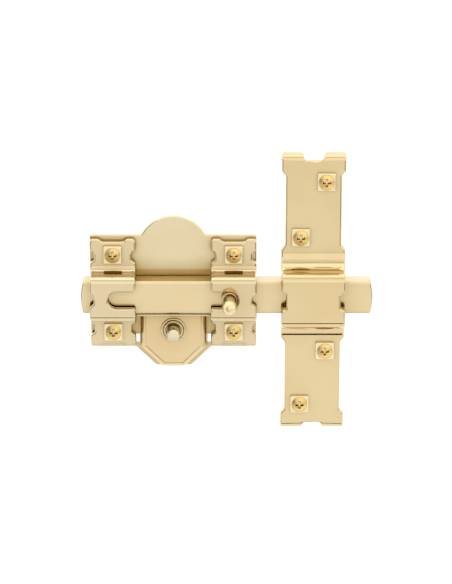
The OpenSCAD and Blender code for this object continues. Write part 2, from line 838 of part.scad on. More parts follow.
base_plate();
left_strap();
right_strap();
mechanism_cover();
back_cover();
left_pillar();
right_pillar();
back_cover_screws();
left_bolt_spring();
right_bolt_spring();
bolt();
bolt_knob();
button_bush();
button_plunger();
cross_pin();
locking_catch();
left_return_spring();
right_return_spring();
left_detent_spring();
right_detent_spring();
strike_plate();
lock_screws();
strike_screws();
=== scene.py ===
# A brass-plated sliding door bolt with its strike, screwed up as on a closed door.
# X runs along the bolt, -Y stands out of the door face towards the room, Z is up. Metres.
import json
import math

import bpy
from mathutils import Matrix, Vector


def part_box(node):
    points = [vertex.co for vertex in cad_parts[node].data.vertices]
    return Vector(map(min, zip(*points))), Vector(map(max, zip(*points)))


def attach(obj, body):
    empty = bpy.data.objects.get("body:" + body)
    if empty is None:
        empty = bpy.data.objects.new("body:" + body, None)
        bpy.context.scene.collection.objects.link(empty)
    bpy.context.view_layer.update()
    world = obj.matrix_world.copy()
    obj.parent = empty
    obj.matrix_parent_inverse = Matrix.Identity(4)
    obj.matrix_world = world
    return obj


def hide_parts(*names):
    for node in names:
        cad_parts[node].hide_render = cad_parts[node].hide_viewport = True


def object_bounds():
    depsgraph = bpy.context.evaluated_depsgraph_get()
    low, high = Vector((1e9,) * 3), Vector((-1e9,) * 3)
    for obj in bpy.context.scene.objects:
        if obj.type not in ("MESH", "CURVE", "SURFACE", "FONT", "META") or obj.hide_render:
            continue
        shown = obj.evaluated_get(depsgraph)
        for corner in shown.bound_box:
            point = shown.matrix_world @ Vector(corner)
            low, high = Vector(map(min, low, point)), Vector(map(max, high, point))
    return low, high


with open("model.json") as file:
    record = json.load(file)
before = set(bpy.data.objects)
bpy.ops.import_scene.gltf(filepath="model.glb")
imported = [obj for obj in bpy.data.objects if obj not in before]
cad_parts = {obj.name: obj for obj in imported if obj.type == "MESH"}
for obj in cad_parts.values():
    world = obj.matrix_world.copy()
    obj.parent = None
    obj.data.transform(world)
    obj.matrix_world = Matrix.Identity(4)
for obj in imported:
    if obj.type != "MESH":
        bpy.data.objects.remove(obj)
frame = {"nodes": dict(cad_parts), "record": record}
cad_box = [list(map(float, corner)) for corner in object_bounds()]
record = frame["record"]
mounts = {mount["name"]: mount for mount in record["mounts"]}


# ---------------------------------------------------------------------------------------------
# Base plate: one stamping of 2 mm steel with a half-round dome, a cut-cornered foot and a lip bent
# up under the bolt. It is barrel polished, plated pale brass and lacquered, so it has a satin
# shine with faint lines along the length of the lock and rounded, brighter edges.
# ---------------------------------------------------------------------------------------------
PLATE_GOLD = "#D5C5A0"
PLATE_THICKNESS = 0.002
PLATE_CORNER = 0.001
PLATE_EDGE = 0.00075
DOME_HALF = 0.0152
DOME_STEPS = 32
FOOT_HALF = 0.0182
FOOT_CORNER = 0.003
STRAP_MARGIN = 0.0014
LID_SEAT = 0.001
LID_STEP = 0.00135
SLOT_X, SLOT_HALF = 0.0173, 0.0009
SLOT_LOW, SLOT_HIGH = -0.0268, -0.0221
LIP_HALF, LIP_TOP, LIP_THICKNESS = 0.0178, -0.0088, 0.0012
LIP_WINDOW = 0.00585
TONGUE_HALF = 0.0063
LIP_ROOT, LIP_EDGE = 0.0005, 0.0004
LID_GAP = 0.00005
THROUGH, DEEP_THROUGH = 0.001, 0.005
BRUSH_SPACING = 0.00035
DEEP_TONE = (0.95, 0.92, 0.84, 1.0)
# Painted shade: the tone on the next line darkens the plating near other surfaces
PAINTED_SHADE_TONE = (0.48, 0.37, 0.14, 1.0)
BRIGHT_TONE = (1.05, 1.08, 1.2, 1.0)
# Painted shade: how far other surfaces reach to darken the plating
PAINTED_SHADE_REACH = 0.011


def linear(hex_colour, alpha=1.0):
    """The linear colour of an sRGB hex value."""
    parts = [int(hex_colour[i:i + 2], 16) / 255 for i in (1, 3, 5)]
    return [c / 12.92 if c <= 0.04045 else ((c + 0.055) / 1.055) ** 2.4 for c in parts] + [alpha]


def clear_selection():
    """Leaves edit mode and selects nothing."""
    if bpy.context.object and bpy.context.object.mode != "OBJECT":
        bpy.ops.object.mode_set(mode="OBJECT")
    bpy.ops.object.select_all(action="DESELECT")


def pick(piece):
    """Makes a piece the only selected and active one."""
    clear_selection()
    piece.select_set(True)
    bpy.context.view_layer.objects.active = piece


def select_parts(piece, kind, wanted):
    """In edit mode, selects only the vertices, edges or faces for which wanted() is true."""
    bpy.ops.object.mode_set(mode="EDIT")
    bpy.ops.mesh.select_mode(type=kind)
    bpy.ops.mesh.select_all(action="DESELECT")
    bpy.ops.object.mode_set(mode="OBJECT")
    data = piece.data
    parts = {"VERT": data.vertices, "EDGE": data.edges, "FACE": data.polygons}[kind]
    flags = [bool(wanted(part)) for part in parts]
    parts.foreach_set("select", flags)
    bpy.ops.object.mode_set(mode="EDIT")
    return any(flags)


def edge_faces(data):
    """The normals of the faces on each edge, by the edge's vertex pair."""
    found = {}
    for face in data.polygons:
        for key in face.edge_keys:
            found.setdefault(key, []).append(face.normal.copy())
    return found


def smooth(piece, angle=35):
    """Shades a piece smooth between its sharp edges and keeps its flats flat."""
    pick(piece)
    bpy.ops.object.shade_smooth_by_angle(angle=math.radians(angle))
    weigh = piece.modifiers.new("flat faces", "WEIGHTED_NORMAL")
    weigh.keep_sharp = True
    bpy.ops.object.modifier_apply(modifier=weigh.name)


def add(tree, kind, inputs=None, **settings):
    """Adds one node with its settings; an input is a value or another node's output."""
    new = tree.nodes.new(kind)
    for key, value in settings.items():
        setattr(new, key, value)
    for key, value in (inputs or {}).items():
        if isinstance(value, bpy.types.NodeSocket):
            tree.links.new(value, new.inputs[key])
        else:
            new.inputs[key].default_value = value
    return new


def brass_plating(name, hex_colour, roughness, grain=(1.0, 14.0, 14.0), recess=0.8,
                  lacquer=0.6):
    """Satin brass plating under clear lacquer. Polishing leaves fine lines along the grain, the
    plating's tone drifts a little over a few centimetres, painted shade darkens it towards a
    deep brown wherever other surfaces stand close (an ambient occlusion mask, as strong as
    recess says), and edges are rubbed brighter."""
    plating = bpy.data.materials.new(name)
    plating.use_nodes = True
    tree = plating.node_tree
    shader = tree.nodes["Principled BSDF"]
    shader.inputs["Metallic"].default_value = 1.0
    shader.inputs["Coat Weight"].default_value = lacquer
    shader.inputs["Coat Roughness"].default_value = 0.12
    place = add(tree, "ShaderNodeTexCoord")
    along = add(tree, "ShaderNodeMapping", {"Vector": place.outputs["Object"], "Scale": grain})
    lines = add(tree, "ShaderNodeTexNoise", {
        "Vector": along.outputs["Vector"], "Scale": 1 / (BRUSH_SPACING * 40), "Detail": 5.0,
        "Roughness": 0.6})
    drift = add(tree, "ShaderNodeTexNoise", {
        "Vector": place.outputs["Object"], "Scale": 38.0, "Detail": 2.0})
    pale = linear(hex_colour)
    deep = [c * k for c, k in zip(pale, DEEP_TONE)]
    painted_shade_colour = [c * k for c, k in zip(pale, PAINTED_SHADE_TONE)]
    bright = [min(1.0, c * k) for c, k in zip(pale, BRIGHT_TONE)]
    tone = add(tree, "ShaderNodeMapRange", {
        "Value": drift.outputs["Fac"], "From Min": 0.38, "From Max": 0.62, "To Min": 0.0,
        "To Max": 0.7})
    body = add(tree, "ShaderNodeMix", {
        "Factor": tone.outputs["Result"], "A": pale, "B": deep}, data_type="RGBA")
    streak = add(tree, "ShaderNodeMapRange", {
        "Value": lines.outputs["Fac"], "From Min": 0.3, "From Max": 0.7, "To Min": 0.0,
        "To Max": 0.3})
    brushed = add(tree, "ShaderNodeMix", {
        "Factor": streak.outputs["Result"], "A": body.outputs["Result"], "B": deep},
        data_type="RGBA")
    # Painted shade: ambient occlusion darkens the colour towards a deep brown near other surfaces,
    # as a contact shadow would
    painted_shade_occlusion = add(tree, "ShaderNodeAmbientOcclusion", {"Distance": PAINTED_SHADE_REACH}, samples=8)
    depth = add(tree, "ShaderNodeMapRange", {
        "Value": painted_shade_occlusion.outputs["AO"], "From Min": 0.45, "From Max": 0.96, "To Min": recess,
        "To Max": 0.0})
    shaded = add(tree, "ShaderNodeMix", {
        "Factor": depth.outputs["Result"], "A": brushed.outputs["Result"], "B": painted_shade_colour},
        data_type="RGBA")
    form = add(tree, "ShaderNodeNewGeometry")
    rubbed = add(tree, "ShaderNodeMapRange", {
        "Value": form.outputs["Pointiness"], "From Min": 0.52, "From Max": 0.62, "To Min": 0.0,
        "To Max": 0.15})
    surface = add(tree, "ShaderNodeMix", {
        "Factor": rubbed.outputs["Result"], "A": shaded.outputs["Result"], "B": bright},
        data_type="RGBA")
    tree.links.new(surface.outputs["Result"], shader.inputs["Base Color"])
    shine = add(tree, "ShaderNodeMapRange", {
        "Value": lines.outputs["Fac"], "From Min": 0.3, "From Max": 0.7, "To Min": roughness * 0.8,
        "To Max": roughness * 1.25})
    tree.links.new(shine.outputs["Result"], shader.inputs["Roughness"])
    relief = add(tree, "ShaderNodeBump", {
        "Height": lines.outputs["Fac"], "Strength": 0.05, "Distance": 0.0001})
    tree.links.new(relief.outputs["Normal"], shader.inputs["Normal"])
    return plating


def fit_to(piece, material, body, slot, *nodes):
    """Gives a finished piece its material, unless it has its own, its body and the CAD nodes that
    it stands for."""
    if material:
        piece.data.materials.clear()
        piece.data.materials.append(material)
    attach(piece, body)
    for node in nodes:
        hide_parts(node)


def rounded(outline, steps=5):
    """A closed outline of (across, along, corner radius) with its corners turned into arcs."""
    points = []
    for i, (across, along, radius) in enumerate(outline):
        here = Vector((across, along))
        before = Vector(outline[i - 1][:2]) - here
        after = Vector(outline[(i + 1) % len(outline)][:2]) - here
        half = before.angle(after) / 2
        reach = min(radius / math.tan(half), before.length / 2, after.length / 2)
        if reach < 1e-6:
            points.append(here)
            continue
        radius = reach * math.tan(half)
        start, stop = before.normalized() * reach, after.normalized() * reach
        centre = (before.normalized() + after.normalized()).normalized() * radius / math.sin(half)
        points += [here + centre + radius
                   * (start - centre).lerp(stop - centre, k / steps).normalized()
                   for k in range(steps + 1)]
    return [point for i, point in enumerate(points) if (point - points[i - 1]).length > 1e-6]


def drawn(name, points):
    """An open outline: one corner, from which an edge is extruded to each next point in turn."""
    clear_selection()
    bpy.ops.mesh.primitive_plane_add(size=0.001, location=points[0])
    piece = bpy.context.object
    piece.name = piece.data.name = name
    bpy.ops.object.transform_apply(location=True, rotation=True, scale=True)
    bpy.ops.object.mode_set(mode="EDIT")
    bpy.ops.mesh.select_mode(type="VERT")
    bpy.ops.mesh.select_all(action="SELECT")
    bpy.ops.mesh.merge(type="CENTER")
    for start, stop in zip(points, points[1:]):
        bpy.ops.mesh.extrude_vertices_move(
            TRANSFORM_OT_translate={"value": Vector(stop) - Vector(start)})
    bpy.ops.object.mode_set(mode="OBJECT")
    return piece


def blank(name, outline, standoff):
    """A flat blank with the given outline, seen from the front, as one face at a standoff."""
    sheet = drawn(name, [(x, -standoff, z) for x, z in rounded(outline)])
    bpy.ops.object.mode_set(mode="EDIT")
    bpy.ops.mesh.select_all(action="SELECT")
    bpy.ops.mesh.edge_face_add()
    bpy.ops.object.mode_set(mode="OBJECT")
    if sheet.data.polygons[0].normal.y > 0:
        bpy.ops.object.mode_set(mode="EDIT")
        bpy.ops.mesh.select_all(action="SELECT")
        bpy.ops.mesh.flip_normals()
        bpy.ops.object.mode_set(mode="OBJECT")
    return sheet


def thicken(sheet, thickness, front_edge, back_edge=0.00025):
    """Gives a blank its thickness, a wide radius on its front edges and a small one on the rest."""
    front = len(sheet.data.vertices)
    pick(sheet)
    wall = sheet.modifiers.new("thickness", "SOLIDIFY")
    wall.thickness = thickness
    wall.offset = -1
    wall.use_even_offset = True
    bpy.ops.object.modifier_apply(modifier=wall.name)
    for radius, on_front in ((front_edge, True), (back_edge, False)):
        normals = edge_faces(sheet.data)

        def is_rim(edge):
            sides = normals.get(tuple(sorted(edge.vertices)), [])
            return (len(sides) == 2 and sides[0].angle(sides[1]) > math.radians(60)
                    and (not on_front or max(edge.vertices) < front))

        if select_parts(sheet, "EDGE", is_rim):
            bpy.ops.mesh.bevel(offset=radius, segments=5 if on_front else 2, affect="EDGES",
                               clamp_overlap=False)
        bpy.ops.object.mode_set(mode="OBJECT")


def cut_away(piece, low, high):
    """Cuts a box, given by two corners, out of a piece."""
    clear_selection()
    middle = [(a + b) / 2 for a, b in zip(low, high)]
    bpy.ops.mesh.primitive_cube_add(size=1, location=middle)
    cutter = bpy.context.object
    cutter.scale = [b - a for a, b in zip(low, high)]
    bpy.ops.object.transform_apply(location=True, rotation=True, scale=True)
    pick(piece)
    cut = piece.modifiers.new("cut", "BOOLEAN")
    cut.operation, cut.object, cut.solver = "DIFFERENCE", cutter, "EXACT"
    bpy.ops.object.modifier_apply(modifier=cut.name)
    bpy.data.objects.remove(cutter)


def merge(pieces):
    """Joins finished meshes into the first one."""
    pick(pieces[0])
    for piece in pieces[1:]:
        piece.select_set(True)
    bpy.ops.object.join()
    return pieces[0]


# recess sets how strongly painted shade darkens the plate round the bolt, straps and cover
plate_plating = brass_plating("pale_brass_plate_on_pressed_steel", PLATE_GOLD, 0.1, recess=0.95)
plate_low, plate_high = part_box("base_plate")
lid_low, lid_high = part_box("back_cover")
strap_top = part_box("left_strap")[1].z
half_w = plate_high.x
plate_top = strap_top + STRAP_MARGIN
dome_r = (DOME_HALF ** 2 + (plate_high.z - plate_top) ** 2) / (2 * (plate_high.z - plate_top))
dome_z = plate_high.z - dome_r
spring = math.asin((plate_top - dome_z) / dome_r)
dome = [(dome_r * math.cos(a), dome_z + dome_r * math.sin(a), 0)
        for a in [spring + (math.pi - 2 * spring) * i / DOME_STEPS for i in range(1, DOME_STEPS)]]
foot_drop = -plate_top - plate_low.z
base = blank("plated_base", [
    (-half_w, -plate_top, PLATE_CORNER), (-FOOT_HALF, -plate_top, PLATE_CORNER),
    (-FOOT_HALF + foot_drop, plate_low.z, FOOT_CORNER),
    (FOOT_HALF - foot_drop, plate_low.z, FOOT_CORNER),
    (FOOT_HALF, -plate_top, PLATE_CORNER), (half_w, -plate_top, PLATE_CORNER),
    (half_w, plate_top, PLATE_CORNER), (DOME_HALF, plate_top, PLATE_CORNER)] + dome + [
    (-DOME_HALF, plate_top, PLATE_CORNER), (-half_w, plate_top, PLATE_CORNER)], PLATE_THICKNESS)
thicken(base, PLATE_THICKNESS, PLATE_EDGE)
cut_away(base, (lid_low.x - LID_GAP, -LID_SEAT, lid_low.z - LID_GAP),
         (lid_high.x + LID_GAP, THROUGH, lid_high.z + LID_GAP))
cut_away(base, (lid_low.x + LID_STEP, -DEEP_THROUGH, lid_low.z + LID_STEP),
         (lid_high.x - LID_STEP, THROUGH, lid_high.z - LID_STEP))
for side in (-1, 1):
    cut_away(base, (side * SLOT_X - SLOT_HALF, -DEEP_THROUGH, SLOT_LOW),
             (side * SLOT_X + SLOT_HALF, THROUGH, SLOT_HIGH))
lip_low = LIP_TOP - LIP_THICKNESS
lip = blank("guide_lip", [(-LIP_HALF, lip_low, 0), (LIP_HALF, lip_low, 0), (LIP_HALF, LIP_TOP, 0),
                          (-LIP_HALF, LIP_TOP, 0)], -plate_low.y)
thicken(lip, -plate_low.y - PLATE_THICKNESS + LIP_ROOT, LIP_EDGE)
cut_away(lip, (-TONGUE_HALF, -LIP_WINDOW, LIP_TOP - DEEP_THROUGH),
         (TONGUE_HALF, -THROUGH, LIP_TOP + DEEP_THROUGH))
base = merge([base, lip])
smooth(base)
fit_to(base, plate_plating, "root", "plated_plate", "base_plate")


# ---------------------------------------------------------------------------------------------
# Guide straps: two 2.8 mm steel strips cut flat, then folded over the bolt. Each has two square
# pads pushed up for the screws, soft sheared notches and a slot for the knob. The pads are
# painted a paler gold than the flanges round them, a painted sheen for the brighter light
# they catch.
# ---------------------------------------------------------------------------------------------
STRAP_GOLD = "#D0BE98"
SHEET = 0.0028
STRAP_FLANGE = 0.0048
STRAP_WALL = 0.0114
STRAP_FACE_R = 0.0033
STRAP_FOOT_R = 0.0029
STRAP_CORNER = 0.0018
STRAP_EDGE = 0.0009
NOTCH_FROM_END = 0.0089
NOTCH_CORNER = 0.0014
SIDE_NOTCH = (0.002, 0.00195, 0.0012)
OUTER_NOTCH = (0.002, 0.0018, 0.0017)
END_HALF, END_FLANK, END_DEPTH, END_CORNER = 0.0051, 0.0016, 0.0014, 0.0024
KNOB_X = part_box("bolt_knob")[1].x - 0.0039
SLOT_R, SLOT_CORNER = 0.0042, 0.0012
HEAD_R = 0.00375
PAD_HALF, PAD_H = 0.0045, 0.0014
PAD_ROOT, PAD_CORNER, PAD_RIM, PAD_SEAT = 0.0004, 0.0007, 0.0004, 0.0003
# Painted sheen: the pads' paler gold stands in for the brighter light they catch
PAD_PAINTED_SHEEN_GOLD = "#E2D3AC"

spread = mounts["lock_screw_threads"]["dims"]
lock_places = [(sx * spread["spacing_x_mm"] / 2000, sz * spread["spacing_y_mm"] / 2000)
               for sx in (-1, 1) for sz in (-1, 1)]
# The last number in each of these two calls is how strongly painted shade darkens the strap and its
# pads near other surfaces
strap_plating = brass_plating("pale_brass_plate_on_folded_strip", STRAP_GOLD, 0.09,
                              (14.0, 14.0, 1.0), 0.5)
# Painted sheen: the pads get a paler plating than the strap round them
pad_painted_sheen_plating = brass_plating("brass_plate_on_raised_pads_with_painted_sheen", PAD_PAINTED_SHEEN_GOLD, 0.14,
                               (14.0, 14.0, 1.0), 0.4)


def fold(end, wall, flange, face, foot_r, face_r, tail_r=0.0, steps=9):
    """Side view of half a folded strip as (z, standoff), from the middle of its face to its end."""
    turns = [math.pi / 2 * i / steps for i in range(steps + 1)]
    path = [(0.0, face)]
    for a in turns:
        path.append((wall - face_r + face_r * math.sin(a), face - face_r + face_r * math.cos(a)))
    for a in turns:
        path.append((wall + foot_r - foot_r * math.cos(a), flange + foot_r - foot_r * math.sin(a)))
    for a in turns:
        path.append((end - tail_r + tail_r * math.sin(a), flange - tail_r + tail_r * math.cos(a)))
    path.append((end, 0.0 if tail_r else flange))
    return [Vector(point) for i, point in enumerate(path)
            if i == 0 or (Vector(point) - Vector(path[i - 1])).length > 1e-6]


def lengths(path):
    """The distance of each point of a side view from its first point, along the sheet."""
    run = [0.0]
    for i in range(1, len(path)):
        run.append(run[-1] + (path[i] - path[i - 1]).length)
    return run


def folded_strip(name, outline, path, middle_x, thickness, edge):
    """A flat blank, cut to its outline, then folded along the path and given its thickness."""
    run = lengths(path)
    strip = blank(name, outline, 0)
    pick(strip)
    for place in sorted({round(sign * length, 7) for length in run[:-1] for sign in (-1, 1)}):
        bpy.ops.object.mode_set(mode="EDIT")
        bpy.ops.mesh.select_all(action="SELECT")
        bpy.ops.mesh.bisect(plane_co=(0, 0, place), plane_no=(0, 0, 1))
        bpy.ops.object.mode_set(mode="OBJECT")
    for vertex in strip.data.vertices:
        along = abs(vertex.co.z)
        k = max(i for i in range(len(run) - 1) if run[i] <= along + 1e-9)
        share = min(1.0, (along - run[k]) / (run[k + 1] - run[k]))
        z, standoff = path[k].lerp(path[k + 1], share)
        vertex.co = Vector((middle_x + vertex.co.x, -standoff, math.copysign(z, vertex.co.z)))
    thicken(strip, thickness, edge)
    return strip


def round_corners(piece, radius):
    """Rounds the corners of a pad's outline: the edges that run straight out of the door."""
    data = piece.data

    def is_corner(edge):
        a, b = (data.vertices[i].co for i in edge.vertices)
        return abs((b - a).normalized().y) > 0.995

    pick(piece)
    if select_parts(piece, "EDGE", is_corner):
        bpy.ops.mesh.bevel(offset=radius, segments=5, affect="EDGES", clamp_overlap=False)
    bpy.ops.object.mode_set(mode="OBJECT")


def round_edges(piece, radius, wanted, segments=4, angle=28):
    """Rounds the sharp edges for which wanted(middle, normal, normal) is true, as a press or a
    polishing wheel does."""
    data = piece.data
    normals = edge_faces(data)

    def is_edge(edge):
        a, b = (data.vertices[i].co for i in edge.vertices)
        sides = normals.get(tuple(sorted(edge.vertices)), [])
        return (len(sides) == 2 and sides[0].angle(sides[1]) > math.radians(angle)
                and wanted((a + b) / 2, *sides))

    pick(piece)
    if select_parts(piece, "EDGE", is_edge):
        bpy.ops.mesh.bevel(offset=radius, segments=segments, affect="EDGES", clamp_overlap=False)
    bpy.ops.object.mode_set(mode="OBJECT")


def screw_pad(name, x, z, flange, top):
    """A square pad pushed up out of the sheet, with soft corners and rim and the screw's seat."""
    clear_selection()
    bpy.ops.mesh.primitive_cube_add(size=1, location=(x, -(top + flange - PAD_ROOT) / 2, z))
    pad = bpy.context.object
    pad.name = pad.data.name = name
    pad.scale = (2 * PAD_HALF, top - flange + PAD_ROOT, 2 * PAD_HALF)
    bpy.ops.object.transform_apply(location=True, rotation=True, scale=True)
    round_corners(pad, PAD_CORNER)
    round_edges(pad, PAD_RIM, lambda middle, a, b: min(a.y, b.y) < -0.9)
    bpy.ops.mesh.primitive_cylinder_add(vertices=48, radius=HEAD_R + 0.0001, depth=2 * PAD_SEAT,
                                        location=(x, -top, z), rotation=(math.pi / 2, 0, 0))
    seat = bpy.context.object
    pick(pad)
    cut = pad.modifiers.new("seat", "BOOLEAN")
    cut.operation, cut.object, cut.solver = "DIFFERENCE", seat, "EXACT"
    bpy.ops.object.modifier_apply(modifier=cut.name)
    bpy.data.objects.remove(seat)
    # Painted sheen: the pad gets the paler pad plating
    pad.data.materials.clear()
    pad.data.materials.append(pad_painted_sheen_plating)
    return pad


def notch(edge, place, depth, half, flank, corner):
    """One notch in a strip's side; the sign of the edge says which side it is in."""
    inner = edge - math.copysign(depth, edge)
    points = [(edge, place - half - flank, corner), (inner, place - half, corner),
              (inner, place + half, corner), (edge, place + half + flank, corner)]
    return points if edge > 0 else points[::-1]


for side in (-1, 1):
    name = "left" if side < 0 else "right"
    low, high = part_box(f"{name}_strap")
    middle_x, half_w = (low.x + high.x) / 2, (high.x - low.x) / 2
    path = fold(high.z, STRAP_WALL, STRAP_FLANGE, -low.y, STRAP_FOOT_R, STRAP_FACE_R)
    end = lengths(path)[-1]
    slot_end = side * (KNOB_X - abs(middle_x)) + side * SLOT_R
    sides = []
    for edge in (half_w, -half_w):
        lower = notch(edge, -(end - NOTCH_FROM_END), *SIDE_NOTCH, NOTCH_CORNER)
        upper = notch(edge, end - NOTCH_FROM_END, *SIDE_NOTCH, NOTCH_CORNER)
        if edge * side < 0:
            middle = [(edge, -SLOT_R, SLOT_CORNER), (slot_end, -SLOT_R, SLOT_R),
                      (slot_end, SLOT_R, SLOT_R), (edge, SLOT_R, SLOT_CORNER)]
            middle = middle if edge > 0 else middle[::-1]
        else:
            middle = notch(edge, 0, *OUTER_NOTCH, NOTCH_CORNER)
        sides.append(lower + middle + upper if edge > 0 else upper + middle + lower)
    across = [(-half_w, STRAP_CORNER, 0), (-END_HALF - END_FLANK, END_CORNER, 0),
              (-END_HALF, END_CORNER, END_DEPTH), (END_HALF, END_CORNER, END_DEPTH),
              (END_HALF + END_FLANK, END_CORNER, 0), (half_w, STRAP_CORNER, 0)]
    outline = ([(x, -end + depth, corner) for x, corner, depth in across] + sides[0]
               + [(x, end - depth, corner) for x, corner, depth in across[::-1]] + sides[1])
    strap = folded_strip(f"{name}_guide_strap", outline, path, middle_x, SHEET, STRAP_EDGE)
    pads = [screw_pad(f"{name}_pad", x, z, STRAP_FLANGE, STRAP_FLANGE + PAD_H)
            for x, z in lock_places if x * side > 0]
    strap.data.materials.append(strap_plating)
    strap = merge([strap] + pads)
    smooth(strap)
    fit_to(strap, None, "root", "plated_strap", f"{name}_strap")


# ---------------------------------------------------------------------------------------------
# Strike: a longer strip of the same sheet folded into a taller bridge, waisted between its ears and
# with both ends folded back to stand on the frame. Four screw pads are pushed up out of it.
# ---------------------------------------------------------------------------------------------
STRIKE_GOLD = "#D3BE91"
STRIKE_FLANGE = 0.00605
STRIKE_WALL = 0.01395
STRIKE_FACE_R = 0.00415
STRIKE_FOOT_R = 0.008
STRIKE_TAIL_R = 0.0029
STRIKE_CORNER = 0.0014
SHOULDER_Z, WAIST_LOW, WAIST_HIGH, EAR_Z = 0.0225, 0.025, 0.06, 0.062
WAIST_DEPTH = 0.0019
MIDDLE_NOTCH_Z = 0.0005
MIDDLE_NOTCH = (0.0024, 0.0041, 0.0004)
END_NOTCH_HALF, END_NOTCH_FLANK = 0.0046, 0.0004
END_NOTCH_DEPTH, END_NOTCH_CORNER = 0.0078, 0.002
strike_low, strike_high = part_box("strike_screws")
strike_places = []
for key in ("strike_upper_screw_threads", "strike_lower_screw_threads"):
    centre = mounts[key]["pos_m"]
    outer_z = (strike_high.z - HEAD_R) if centre[2] > 0 else (strike_low.z + HEAD_R)
    half_z = abs(outer_z - centre[2])
    half_x = (strike_high.x - strike_low.x) / 2 - HEAD_R
    strike_places += [(centre[0] + sign * half_x, centre[2] + sign * half_z) for sign in (1, -1)]

# The last number is how strongly painted shade darkens the strike near other surfaces
strike_plating = brass_plating("pale_brass_plate_on_strike", STRIKE_GOLD, 0.09,
                               (14.0, 14.0, 1.0), 0.5)
low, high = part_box("strike_plate")
middle_x, half_w = (low.x + high.x) / 2, (high.x - low.x) / 2
path = fold(high.z, STRIKE_WALL, STRIKE_FLANGE, -low.y, STRIKE_FOOT_R, STRIKE_FACE_R,
            STRIKE_TAIL_R)
run = lengths(path)
end = run[-1]
flange_from = next(run[i] - path[i].x for i in range(1, len(path))
                   if abs(path[i].y - STRIKE_FLANGE) < 1e-6 and path[i].x > STRIKE_WALL)


def strike_side(edge):
    """One side of the strike's blank, upwards on the right and downwards on the left."""
    waist = edge - math.copysign(WAIST_DEPTH, edge)
    half = [(x, flange_from + z, STRIKE_CORNER) for x, z in
            ((edge, SHOULDER_Z), (waist, WAIST_LOW), (waist, WAIST_HIGH), (edge, EAR_Z))]
    middle = notch(edge, MIDDLE_NOTCH_Z, *MIDDLE_NOTCH, STRIKE_CORNER)
    lower = [(x, -z, corner) for x, z, corner in half[::-1]]
    return lower + middle + half if edge > 0 else half[::-1] + middle + lower[::-1]


across = [(-half_w, STRIKE_CORNER, 0), (-END_NOTCH_HALF - END_NOTCH_FLANK, STRIKE_CORNER, 0),
          (-END_NOTCH_HALF, END_NOTCH_CORNER, END_NOTCH_DEPTH),
          (END_NOTCH_HALF, END_NOTCH_CORNER, END_NOTCH_DEPTH),
          (END_NOTCH_HALF + END_NOTCH_FLANK, STRIKE_CORNER, 0), (half_w, STRIKE_CORNER, 0)]
outline = ([(x, -end + depth, corner) for x, corner, depth in across] + strike_side(half_w)
           + [(x, end - depth, corner) for x, corner, depth in across[::-1]] + strike_side(-half_w))
strike = folded_strip("strike_bridge", outline, path, middle_x, SHEET, STRAP_EDGE)
strike.data.materials.append(strike_plating)
strike = merge([strike] + [screw_pad("strike_pad", x, z, STRIKE_FLANGE, STRIKE_FLANGE + PAD_H)
                           for x, z in strike_places])
smooth(strike)
fit_to(strike, None, "root", "plated_strap", "strike_plate")


# ---------------------------------------------------------------------------------------------
# Mechanism cover: drawn from 1.3 mm sheet with leaning sides, plated like the base plate and held
# by pillars from behind. Its rim and the edge of its face have a wider radius than the stampings.
# ---------------------------------------------------------------------------------------------
COVER_GOLD = "#D3BC8F"
COVER_EDGE = 0.0008
RIM_EDGE = 0.0003


def copy_of(node, name):
    """A copy of a CAD node's shape whose loose triangles are merged into whole faces."""
    clear_selection()
    original = frame["nodes"][node]
    piece = original.copy()
    piece.data = original.data.copy()
    piece.name = piece.data.name = name
    piece.parent = None
    piece.data.materials.clear()
    bpy.context.collection.objects.link(piece)
    pick(piece)
    bpy.ops.object.mode_set(mode="EDIT")
    bpy.ops.mesh.select_all(action="SELECT")
    bpy.ops.mesh.customdata_custom_splitnormals_clear()
    bpy.ops.mesh.remove_doubles(threshold=1e-6)
    bpy.ops.mesh.dissolve_limited(angle_limit=math.radians(0.5))
    bpy.ops.object.mode_set(mode="OBJECT")
    return piece


# recess sets how strongly painted shade darkens the cover beside the bolt
cover_plating = brass_plating("pale_brass_plate_on_drawn_cover", COVER_GOLD, 0.1, recess=0.9)
cover = copy_of("mechanism_cover", "pressed_cover")
round_edges(cover, COVER_EDGE, lambda middle, a, b: max(a.y, b.y) < -0.05, segments=5, angle=14)
round_edges(cover, RIM_EDGE,
            lambda middle, a, b: min(a.y, b.y) < -0.9 and max(a.z, b.z) > 0.9)
smooth(cover)
fit_to(cover, cover_plating, "root", "plated_plate", "mechanism_cover")


# ---------------------------------------------------------------------------------------------
# Bolt: drawn steel bar with rounded long edges and ends turned to a shallow curve, polished
# along its length and plated like the rest.
# ---------------------------------------------------------------------------------------------
BOLT_GOLD = "#D7C49B"
BOLT_END_EDGE = 0.0006

bolt_low, bolt_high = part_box("bolt")
bolt_middle = (bolt_low.x + bolt_high.x) / 2
bolt_reach = (bolt_high.x - bolt_low.x) / 2 - 0.005
# recess sets how strongly painted shade darkens the bolt next to the plate and straps
bolt_plating = brass_plating("polished_brass_plate_on_drawn_bar", BOLT_GOLD, 0.085,
                             recess=0.55)
bar = copy_of("bolt", "sliding_bar")
round_edges(bar, BOLT_END_EDGE, lambda middle, a, b: max(abs(a.x), abs(b.x)) > 0.3
            and abs(middle.x - bolt_middle) > bolt_reach, segments=4, angle=40)
smooth(bar)
fit_to(bar, bolt_plating, "bolt", "plated_bolt", "bolt")


# ---------------------------------------------------------------------------------------------
# Knob: turned from bar in one piece, a collar that runs in the slot, a waisted neck and a ball, and
# riveted into the bolt from behind.
# ---------------------------------------------------------------------------------------------
TURNED_STEPS = 64


